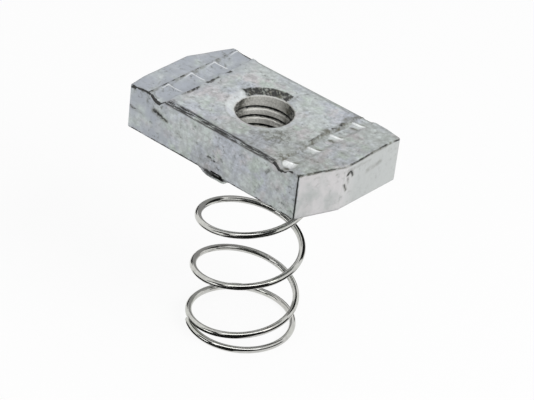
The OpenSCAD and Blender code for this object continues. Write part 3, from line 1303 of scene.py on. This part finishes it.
    def band_at(self, point: Vector) -> float:
        """Share of the streaky sheared band at a point.

        Args:
            point: The point.

        Returns:
            The share.
        """
        x = self.from_front(point.x, point.y)
        drop = self.top_z - point.z
        side = self.width / 2 - abs(point.y)
        width = self.band_width(x)
        if drop > self.shear_drop + 0.3:
            return 0.0
        strength = (1.0 if point.y < 0 else 0.35) * self.between(x)
        strength *= fall(width * 0.8, width * 1.1, side)
        return strength * fall(self.shear_drop, self.shear_drop + 0.2, drop)

    def end_at(self, point: Vector) -> float:
        """Share of the smooth sawn end faces at a point.

        Args:
            point: The point.

        Returns:
            The share.
        """
        x, y, z = point
        on_wall = self.edge(x, y)[0] < 0.75 and z < self.top_z + self.relief(x, y) - 0.04
        return float(on_wall and abs(x) > self.clip_x - 0.02 and abs(y) < self.width / 2 - 0.22)

    def chatter(self, angle: float) -> float:
        """Share of the cutter's chatter at an angle round the hole, in degrees."""
        return window(self.chatter_from, self.chatter_to, 4, angle)

    def chattered(self, x: float, y: float, soft: float) -> float:
        """Share of chatter at a point of the upper countersink, above a soft inner edge."""
        above = smooth_step(self.chatter_r - soft, self.chatter_r + soft, math.hypot(x, y))
        return self.chatter(bearing(x, y)) * above

    def grime_and_shadow_at(self, point: Vector) -> float:
        """Share of dark torn marks, chatter, specks and painted shadow at a point.

        Args:
            point: The point.

        Returns:
            The share.
        """
        x, y, z = point
        gap, _ = self.edge(x, y)
        rim = self.top_z + self.relief(x, y)
        on_top = z > rim - 0.02 and gap > 0.03
        return max(
            self.thread_shadow_and_chatter(x, y, z),
            self.rim_grime(x, y, max(0.0, gap) + max(0.0, rim - z)),
            self.top_grime(x, y) if on_top else self.wall_grime_and_shadow(x, y, z),
        )

    def side_shade(self, x: float, y: float) -> float:
        """Share of painted shade in the thread: none on its lit side and all of it at both sides of that."""
        angle = bearing(x, y) % 360
        return max(smooth_step(*self.side_shade_from, angle), fall(*self.side_shade_to, angle))

    def thread_shadow_and_chatter(self, x: float, y: float, z: float) -> float:
        """Painted shadow in the thread's roots and at the hole's sides, and dark chatter of the countersink.

        Args:
            x: Place along the plate.
            y: Place across the plate.
            z: Height.

        Returns:
            The share.
        """
        radius = math.hypot(x, y)
        if radius > self.sink_r + 0.5:
            return 0.0
        if self.cut_at(Vector((x, y, z))):
            # painted shadow in the thread's roots and painted shade at the hole's sides
            root = smooth_step(self.hole_r + 0.2, self.hole_r + 0.5, radius)
            return max(root, 0.58 * self.side_shade(x, y))
        if self.top_z - z < self.sink_depth + 0.05 and radius < self.sink_r + 0.3:
            uneven = 0.62 + 0.45 * ragged(bearing(x, y) * 0.7, radius * 4.0, 21.5)
            return self.chattered(x, y, 0.15) * uneven
        return 0.0

    def rim_grime(self, x: float, y: float, far: float) -> float:
        """Dark lines along the upper edges, by the distance from the edge.

        Args:
            x: Place along the plate.
            y: Place across the plate.
            far: Distance from the edge.

        Returns:
            The share.
        """
        if far > 0.6:
            return 0.0
        strength, width = 0.4, 0.12
        if x > self.clip_x - 0.4:
            strength, width = 0.5 + 0.3 * ragged(x * 0.8 + y * 0.8, 0.0, 23.5), 0.14
        elif y < 0.8 - self.width / 2 and x < self.groove_left - 1.2:
            strength = 0.75 + 0.4 * ragged(x * 1.7, 0.0, 24.5)
            width = 0.2 + 0.1 * ragged(x * 2.3, 1.0, 24.5) + 0.2 * fall(-17.0, -16.2, x)
        elif abs(self.groove(x, y)[0]) < 1.85:
            strength, width = (0.9, 0.26) if x < 0 else (0.6, 0.2)
            if y < 0:
                torn = self.torn_right if x > 0 else self.torn_left
                strength = 0.9 + 0.35 * ragged(x * 3.6, 0.0, 22.5)
                width = 0.2 + 0.12 * ragged(x * 2.0, 0.0, 26.5) + 0.24 * window(*torn, 0.3, x)
        return strength * fall(width * 0.5, width, far)

    def top_grime(self, x: float, y: float) -> float:
        """Hard specks on the upper face and dashes along the grooves' edges.

        Args:
            x: Place along the plate.
            y: Place across the plate.

        Returns:
            The share.
        """
        left = x < 0
        across = self.groove(x, y)[0]
        dark = 0.12 + 0.17 * smooth_step(-3, 6, x) * fall(-3, 4, y)
        dark += 0.11 * fall(0.8, 4.0, math.hypot(x - 6.0, y + 4.2))
        if left and 0.9 < across < 2.0:
            outer = smooth_step(1.48, 1.6, across) * fall(1.72, 1.95, across)
            dark = max(dark, outer * (0.4 + 0.45 * ragged(y * 1.1, 0.0, 37.5)))
        wide = (0.62 if left else 0.3) + 0.42 * ragged(y * 1.5, 0.0, 33.5) * (1.0 if left else 0.4)
        middle = self.groove_w / 2 + 0.1 + (0.0 if left else 0.25 * ragged(y * 0.9, 2.0, 33.5))
        line = fall(0.4 * wide, wide, abs(across + middle))
        if line > 0:
            dashes, strength = (self.dashes_left, 0.72) if left else (self.dashes_right, 0.62)
            uneven = strength + 0.45 * ragged(y * 1.9, x * 1.9, 25.5)
            dark = max(dark, line * self.dash(dashes, y) * uneven)
        return dark

    @staticmethod
    def dash(dashes: Iterable[tuple[float, float, float]], y: float) -> float:
        """Strength of a broken line at a place across the plate.

        Args:
            dashes: Start, end and strength of each dash.
            y: The place.

        Returns:
            The strength there.
        """
        return max(strength * window(start, end, 0.3, y) for start, end, strength in dashes)

    def wall_grime_and_shadow(self, x: float, y: float, z: float) -> float:
        """Hard dark marks on the walls, with painted shadow in the notches and on the lips.

        Args:
            x: Place along the plate.
            y: Place across the plate.
            z: Height.

        Returns:
            The share.
        """
        half_w, height = self.width / 2, z - self.under_z
        along = self.from_front(x, y)
        deep = 0.04 < half_w - abs(y) < self.notch_d + 0.1
        # painted shadow in the notches and over the lips
        if deep and -1.2 < along < 1.3 and -0.4 < height < 0.65:
            return 1.0
        if self.on_front(y):
            dark = 0.14 + 0.2 * fall(0.0, 4.0, math.hypot((x + 1.5) / 1.6, (z - 31.0) / 0.8))
            edge = (0.7 if x < -1.5 else 0.58) if height > 0 else 0.5
            line = (edge + 0.5 * ragged(x * 0.7, 0.0, 27.5)) * fall(0.2, 0.56, height)
        else:
            dark = 0.08
            line = (0.4 + 0.4 * ragged(x * 0.9 + y * 0.6, 1.0, 27.5)) * fall(0.08, 0.26, height)
        fold = math.hypot(x - self.clip_x, y + half_w)
        corner = math.hypot(x + self.length / 2, y + half_w)
        dark = max(
            dark,
            line,
            (0.85 + 0.2 * ragged(z * 0.9, 0.0, 28.5)) * fall(0.08, 0.24, fold),
            (0.45 + 0.45 * ragged(z * 1.4, 0.0, 39.5)) * fall(0.1, 0.3, corner),
        )
        for scar, far in self.scars_near(x, y, z):
            dark = max(dark, 0.85 * scar.dark * fall(scar.width * 0.3, scar.width * 1.5, far))
        return dark

    def smudge_and_shade_at(self, point: Vector) -> float:
        """Share of soft smudges and painted shade at a point.

        Args:
            point: The point.

        Returns:
            The share.
        """
        x, y, z = point
        drop, radius = self.top_z - z, math.hypot(x, y)
        gap, _ = self.edge(x, y)
        if self.cut_at(point):
            # painted shade at the hole's sides
            return 0.06 + 0.9 * self.side_shade(x, y)
        if drop > 1.2 or (drop > 0.45 and gap < 0.03):
            return self.wall_smudges(x, y, z)
        if self.hole_r - 0.1 < radius < self.sink_r + 0.25:
            ring = 0.4 * fall(0.06, 0.2, abs(radius - self.sink_r - 0.08))
            return max(0.95 * self.chattered(x, y, 0.2), ring)
        shade = self.top_darkening(x, y)
        shade = max(shade, 0.3 * fall(0.1, 0.7, gap))
        if x > self.clip_x - 0.4:
            shade = max(shade, 0.8 * fall(0.08, 0.2, max(0.0, gap) + max(0.0, drop - 0.3)))
        across, phase, _, tooth = self.groove(x, y)
        if abs(across) > 2.4:
            return shade
        if x < 0:
            return max(shade, self.left_smudge_and_shade(y, across, phase, tooth))
        return max(shade, self.right_smudge_and_shade(y, across, phase))

    def wall_smudges(self, x: float, y: float, z: float) -> float:
        """Soft smudges on the walls: low on the front one and round the scars.

        Args:
            x: Place along the plate.
            y: Place across the plate.
            z: Height.

        Returns:
            The share.
        """
        low = fall(0.0, 3.5, math.hypot((x + 2.0) / 1.8, (z - 31.2) / 0.9))
        shade = 0.06 + 0.3 * low if self.on_front(y) else 0.03
        for scar, far in self.scars_near(x, y, z):
            shade = max(shade, 0.8 * scar.dark * fall(scar.width * 0.6, scar.width * 2.2, far))
        return shade

    @staticmethod
    def top_darkening(x: float, y: float) -> float:
        """Soft darkening of the upper face, most of it in front of the hole and on the right land.

        Args:
            x: Place along the plate.
            y: Place across the plate.

        Returns:
            The share.
        """
        shade = 0.36 * smooth_step(-6, 4, x) * fall(-5.0, 3.0, y) + 0.06
        shade = max(shade, 0.31 * smooth_step(10, 12.5, x))
        return shade + 0.26 * fall(0.5, 3.5, math.hypot(x - 5.5, y + 4.0))

    def left_smudge_and_shade(self, y: float, across: float, phase: float, tooth: float) -> float:
        """Darkening in the left groove: painted shade on its outer wall, soft smudges round its dashes and painted
        shadow under each tooth.

        Args:
            y: Place across the plate.
            across: Place across the groove.
            phase: Place along its teeth.
            tooth: Share of the tooth there.

        Returns:
            The share.
        """
        edge, foot = self.groove_w / 2, self.wall_foot(tooth)
        wall = smooth_step(foot + 0.05, foot + 0.14, across) * fall(edge, edge + 0.3, across)
        halo = fall(0.1, 0.7, abs(across + edge + 0.1))
        step = smooth_step(0.05, 0.12, phase - self.tooth_pitch + 0.4)
        return max(
            0.12,
            # painted shade on the outer wall
            wall * (0.5 + 0.35 * ragged(y * 0.8, 0.0, 29.5)),
            0.85 * halo * self.dash(self.dashes_left, y),
            # painted shadow under each tooth
            0.5 * step * fall(1.2, 1.5, abs(across)),
        )

    def right_smudge_and_shade(self, y: float, across: float, phase: float) -> float:
        """Darkening in the right groove: painted shadow at each root, painted shade on its inner wall and behind
        each crest, and soft smudges round its dashes.

        Args:
            y: Place across the plate.
            across: Place across the groove.
            phase: Place along its teeth.

        Returns:
            The share.
        """
        edge, root = self.groove_w / 2, self.tooth_pitch - self.tooth_face
        under = math.hypot((across + 0.25) / 0.8, (phase - root + 0.3) / 0.5)
        wall = smooth_step(edge - 0.6, edge - 0.4, -across) * fall(edge, edge + 0.3, -across)
        near = min(phase, self.tooth_pitch - phase)
        behind = smooth_step(0.05, 0.2, phase) * fall(0.4, 1.0, phase)
        wide = smooth_step(edge - 0.7, edge - 0.3, -across) * fall(edge + 0.1, edge + 0.6, -across)
        return max(
            # painted shadow at each root
            0.9 * fall(0.4, 1.1, under),
            # painted shade on the inner wall, by the crests and behind them
            wall * (0.72 + 0.25 * ragged(y * 0.9, 0.0, 31.5)),
            0.75 * smooth_step(0.9, 1.25, -across) * fall(0.5, 1.2, near),
            0.75 * behind * fall(0.3, 0.8, abs(across - 0.4)),
            0.95 * wide * self.dash(self.dashes_right, y),
        )

    def sink_turned_and_highlight(self, x: float, y: float) -> float:
        """Bright turned metal of the upper countersink, with painted highlight at its left and right and under its
        chatter.

        Args:
            x: Place along the plate.
            y: Place across the plate.

        Returns:
            The share.
        """
        angle = bearing(x, y)
        rough, turned = self.chatter(angle), abs((angle - 195 + 180) % 360 - 180)
        # painted highlight on the countersink's lit sides
        lit = 0.3 * (1 - rough) * fall(25, 80, turned)
        lit += 0.2 * rough * fall(self.chatter_r - 0.3, self.chatter_r, math.hypot(x, y))
        return lit + 0.14 * fall(15, 70, abs(angle))

    def wear_and_highlight_at(self, point: Vector) -> float:
        """Share of bright rubbed metal and painted highlight at a point.

        Args:
            point: The point.

        Returns:
            The share.
        """
        x, y, z = point
        drop = self.top_z - z
        if drop > 1.1 or abs(y) > self.width / 2 - 0.02:
            return 0.0
        if math.hypot(x, y) < self.sink_r + 0.05 and drop < self.sink_depth + 0.02:
            return self.sink_turned_and_highlight(x, y)
        across, phase, relief, tooth = self.groove(x, y)
        if abs(across) > self.groove_w / 2 or relief > -0.04:
            return 0.0
        crest = min(phase, self.tooth_pitch - phase)
        if x < 0:
            # painted highlights along the crests and feet of the left groove's teeth, partly rubbed metal
            foot = self.wall_foot(tooth)
            line = smooth_step(-1.1, -0.6, across) * fall(foot, foot + 0.1, across)
            leg = fall(0.03, 0.1, abs(across - foot)) * smooth_step(0.5, 0.9, tooth)
            return max(line * fall(0.03, 0.12, crest), 0.6 * leg)
        # painted highlights on the crests and faces of the right groove's teeth
        lens = math.sqrt(max(0.0, 1 - ((across + 0.15) / 1.15) ** 2))
        face = 0.55 if y < -6.5 else 0.16
        return max(lens * fall(0.04, 0.16, crest), face * lens * fall(0.35, 0.6, self.tooth_pitch - phase))


@dataclass
class CoilSpring:
    """Coil spring with a closed foot and a flat turn under the plate. Millimetres."""

    height: float = 30.0
    wire_d: float = 1.0
    coil_r: float = 7.9
    pitch: float = 8.8
    foot_bend: float = 0.65
    head_turns: float = 0.54
    head_bend: float = 0.2
    head_stretch: float = 1.7
    stretch_turns: float = 1.2
    wire_end: float = 106.0
    turn_gap: float = 0.12
    seat_gap: float = 0.06
    sides: int = 24
    turn_steps: int = 72
    end_round: float = 0.08
    head_room: float = 0.8
    head_z: float = field(init=False)
    foot_turns: float = field(init=False)
    turns: float = field(init=False)

    def __post_init__(self) -> None:
        """Works out the turns."""
        wire_r = self.wire_d / 2
        self.head_z = self.height - self.seat_gap - wire_r
        clear = (self.wire_d + self.turn_gap) / self.pitch
        bent = math.sqrt(2 * self.foot_bend * clear)
        self.foot_turns = 1 - (bent if bent <= self.foot_bend else clear + self.foot_bend / 2)
        open_turns = (self.head_z - wire_r - self.head_stretch) / self.pitch
        bends = (self.foot_bend + self.head_bend) / 2
        self.turns = self.foot_turns + self.head_turns + bends + open_turns

    def rise(self, turns: float, flat: float, bend: float) -> float:
        """Rise of the wire from an end.

        Args:
            turns: Turns from that end.
            flat: Flat turns there.
            bend: Turns over which the wire bends to the open pitch.

        Returns:
            The rise.
        """
        if turns <= flat:
            return 0.0
        if turns <= flat + bend:
            return self.pitch * (turns - flat) ** 2 / (2 * bend)
        return self.pitch * (turns - flat - bend / 2)

    def level(self, turns: float) -> float:
        """Level of the wire's middle, some turns from its lower end.

        Args:
            turns: Turns from the wire's lower end.

        Returns:
            The level.
        """
        left = self.turns - turns
        if turns < left:
            relaxed = self.wire_d / 2 + self.rise(turns, self.foot_turns, self.foot_bend)
        else:
            relaxed = self.head_z - self.head_stretch - self.rise(left, self.head_turns, self.head_bend)
        return relaxed + self.head_stretch * fall(0, self.stretch_turns, left - self.head_turns)

    def build(self) -> bpy.types.Object:
        """Models the spring.

        Returns:
            The object.
        """
        bm = bmesh.new()
        ring = add_ring(bm, self.wire_d / 2, self.sides, (self.coil_r, 0, self.level(0)))
        start = math.radians(self.wire_end - 360 * self.turns)
        facing = Vector((math.cos(start), math.sin(start), 0))
        turn = Vector((1, 0, 0)).rotation_difference(facing).to_matrix()
        bmesh.ops.rotate(bm, cent=(0, 0, 0), matrix=turn, verts=ring)
        steps = round(self.turns * self.turn_steps)
        last = bm.verts[:] + bm.edges[:]
        first_edges = bm.edges[:]
        for i in range(steps):
            climb = self.level(self.turns * (i + 1) / steps) - self.level(self.turns * i / steps)
            last = spin_round(bm, last, 1, FULL_TURN * self.turns / steps, climb)
        last_edges = [item for item in last if isinstance(item, BMEdge)]
        caps = []
        for edges in (first_edges, last_edges):
            caps += bmesh.ops.edgeloop_fill(bm, edges=edges)["faces"]
        bmesh.ops.bevel(
            bm, geom=[edge for cap in caps for edge in cap.edges], offset=self.end_round, segments=2, profile=0.5,
            affect="EDGES", material=-1)
        for face in bm.faces:
            face.smooth = len(face.verts) < self.sides
        return finish_mesh(bm, "spring_coil")

    def middle(self, x: float, y: float, z: float) -> float:
        """Level of the wire's middle next to a point on the wire.

        Args:
            x: First coordinate of the point.
            y: Second coordinate.
            z: Height of the point.

        Returns:
            The level.
        """
        past = (bearing(x, y) - self.wire_end) / 360 + self.turns
        levels = [self.level(past % 1 + i) for i in range(math.ceil(self.turns))]
        return min(levels, key=lambda level: abs(level - z))

    def hold(self, spring: bpy.types.Object) -> None:
        """Ties the spring's foot to its own body and its head to the nut, with the turns between spread evenly.

        Every ring of the wire moves as one, so that the wire stays round when the spring is pressed.

        Args:
            spring: The spring.
        """
        low = self.wire_d * 1.5 + self.turn_gap
        high = self.head_z - self.head_room
        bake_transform(spring, "spring", "nut", start=(0, 0, low * MM), end=(0, 0, high * MM))
        shares = []
        for vert in spring.data.vertices:
            level = self.middle(*(vert.co / MM))
            shares.append(clamped((level - low) / (high - low)))
        spring.data.attributes["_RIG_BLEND"].data.foreach_set("value", shares)


@dataclass(frozen=True)
class Flag:
    """Dark panel that only reflections see. Metres."""

    name: str
    size: Pair
    place: Triple
    face: Triple
    grey: float = 0.0


@dataclass
class Studio:
    """Pale floor, soft light and the camera. Metres and degrees."""

    eye: Triple = (0.165284, -0.215729, 0.201057)
    turn: Triple = (56.4438, -5.8192, 40.9143)
    lens: float = 151.246
    sensor: float = 36.0
    clip: Pair = (0.01, 20.0)
    target: Triple = (0.0, 0.0, 0.025)
    black: float = 0.015
    dark_flags: tuple[Flag, ...] = (
        Flag("flag_camera", (0.17, 0.14), (0.066, -0.087, 0.07), (-0.066, 0.087, 0.0)),
        Flag("flag_gap", (0.05, 0.07), (-0.015, -0.13, 0.035), (0.015, 0.13, 0.0)),
        Flag("flag_left", (0.07, 0.09), (-0.06, -0.105, 0.075), (0.06, 0.105, 0.0)),
        Flag("flag_floor", (0.09, 0.09), (0.039, -0.052, 0.0004), (0.0, 0.0, 1.0)),
        Flag("flag_foot_right", (0.028, 0.05), (0.028, -0.004, 0.0004), (0.0, 0.0, 1.0)),
        Flag("flag_foot_left", (0.035, 0.022), (-0.024, -0.019, 0.0004), (0.0, 0.0, 1.0)),
        Flag("flag_right", (0.04, 0.013), (0.030, 0.0, 0.008), (-1.0, 0.0, 0.0)),
        Flag("flag_back", (0.11, 0.03), (-0.045, 0.06, 0.018), (0.045, -0.06, 0.0)),
        Flag("flag_near", (0.016, 0.014), (0.004, 0.0125, 0.021), (0.0, -1.0, 0.0)),
        Flag("flag_grey", (0.022, 0.025), (-0.015, 0.0125, 0.0155), (0.0, -1.0, 0.0), grey=0.35),
    )

    def camera(self) -> None:
        """Sets the camera at the photograph's angle."""
        data = bpy.data.cameras.new("camera")
        data.sensor_fit = "HORIZONTAL"
        data.sensor_width = self.sensor
        data.lens = self.lens
        data.clip_start, data.clip_end = self.clip
        camera = bpy.data.objects.new("camera", data)
        camera.location = self.eye
        camera.rotation_euler = [math.radians(angle) for angle in self.turn]
        bpy.context.scene.collection.objects.link(camera)
        bpy.context.scene.camera = camera

    def lamp(self, name: str, place: Triple, size: Pair, power: float) -> bpy.types.Object:
        """Adds a soft lamp that faces the part.

        Args:
            name: Name of the lamp.
            place: Where it hangs.
            size: Its width and height.
            power: Power in watts.

        Returns:
            The lamp.
        """
        data = bpy.data.lights.new(name, "AREA")
        data.shape = "RECTANGLE"
        data.size, data.size_y = size
        data.energy = power
        lamp = bpy.data.objects.new(name, data)
        lamp.location = place
        lamp.rotation_euler = (Vector(self.target) - Vector(place)).to_track_quat("-Z", "Y").to_euler()
        bpy.context.scene.collection.objects.link(lamp)
        return lamp

    @staticmethod
    def panel(name: str, size: Pair, place: Triple, face: Triple) -> bpy.types.Object:
        """Adds a flat panel of the set.

        Args:
            name: Name of the panel.
            size: Its width and height.
            place: Its middle.
            face: Direction that it faces.

        Returns:
            The panel.
        """
        bm = bmesh.new()
        bmesh.ops.create_grid(bm, x_segments=1, y_segments=1, size=0.5)
        bmesh.ops.scale(bm, vec=(size[0], size[1], 1), verts=bm.verts[:])
        turn = Vector(face).to_track_quat("Z", "Y").to_matrix()
        bmesh.ops.rotate(bm, cent=(0, 0, 0), matrix=turn, verts=bm.verts[:])
        bmesh.ops.translate(bm, vec=place, verts=bm.verts[:])
        obj = to_object(bm, name)
        return obj

    def floor(self) -> None:
        """Lays the floor, which looks white to the camera and keeps a faint shadow."""
        floor = self.panel("floor", (4.0, 4.0), (0, 0, 0), (0, 0, 1))
        material, graph = new_material("floor")
        cloth = graph.add("ShaderNodeBsdfDiffuse", {"Color": (0.9, 0.9, 0.9, 1.0)})
        white = graph.add("ShaderNodeEmission", {"Color": WHITE, "Strength": 1.0})
        seen = graph.times(graph.seen(), 0.9)
        mixed = graph.add("ShaderNodeMixShader", {0: seen, 1: cloth.outputs[0], 2: white.outputs[0]})
        graph.add("ShaderNodeOutputMaterial", {"Surface": mixed.outputs[0]})
        floor.data.materials.append(material)

    def flags(self) -> None:
        """Hangs the flags, for the dark lines in bright metal."""
        for flag in self.dark_flags:
            material, graph = new_material(flag.name)
            cloth = graph.add("ShaderNodeEmission", {"Color": WHITE, "Strength": flag.grey + self.black})
            graph.add("ShaderNodeOutputMaterial", {"Surface": cloth.outputs[0]})
            panel = self.panel(flag.name, flag.size, flag.place, flag.face)
            panel.data.materials.append(material)
            panel.visible_camera = False
            panel.visible_diffuse = False
            panel.visible_shadow = False
            panel.visible_transmission = False

    def world(self) -> None:
        """Fills the surroundings with soft white light."""
        world = bpy.data.worlds.new("studio")
        bpy.context.scene.world = world
        world.use_nodes = True
        world.node_tree.nodes.clear()
        graph = Graph(world.node_tree)
        strength = graph.span(graph.seen(), 0.0, 1.0, 0.5, 1.0)
        sky = graph.add("ShaderNodeBackground", {"Color": WHITE, "Strength": strength})
        graph.add("ShaderNodeOutputWorld", {"Surface": sky.outputs[0]})

    def build(self) -> None:
        """Builds the whole set."""
        self.camera()
        self.world()
        self.floor()
        self.flags()
        self.lamp("key", (0.45, 0.02, 0.40), (0.4, 0.4), 2.5).visible_glossy = False
        self.lamp("fill", (-0.15, -0.5, 0.15), (0.4, 0.4), 0.7)
        self.lamp("strip", (0.143, -0.186, 0.46), (0.7, 0.09), 0.6).visible_diffuse = False
        bpy.context.scene.view_settings.view_transform = "Standard"


def dress(piece: bpy.types.Object, material: bpy.types.Material, node: str) -> None:
    """Gives a piece its finish and hides the part that it stands for.

    Args:
        piece: The piece, already tied to its body.
        material: Its material.
        node: Node that it stands for.
    """
    piece.data.materials.clear()
    piece.data.materials.append(material)
    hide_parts(node)
    LOG.info("%s: %d faces, stands for %s", piece.name, len(piece.data.polygons), node)


def corners(box: Iterable[Iterable[float]]) -> list[list[float]]:
    """Plain lists of a box's two corners."""
    return [[float(value) for value in corner] for corner in box]


def main() -> None:
    """Builds every piece in order."""
    logging.basicConfig(level=logging.INFO)
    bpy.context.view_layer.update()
    effects = Effects.build()
    Studio().build()
    plate = NutPlate().build()
    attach(plate, "nut")
    dress(plate, ZincFinish(effects).material(), "nut_plate")
    coil = CoilSpring()
    spring = coil.build()
    coil.hold(spring)
    dress(spring, WireFinish(effects).material(), "spring")
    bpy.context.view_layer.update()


if __name__ == "__main__":
    main()
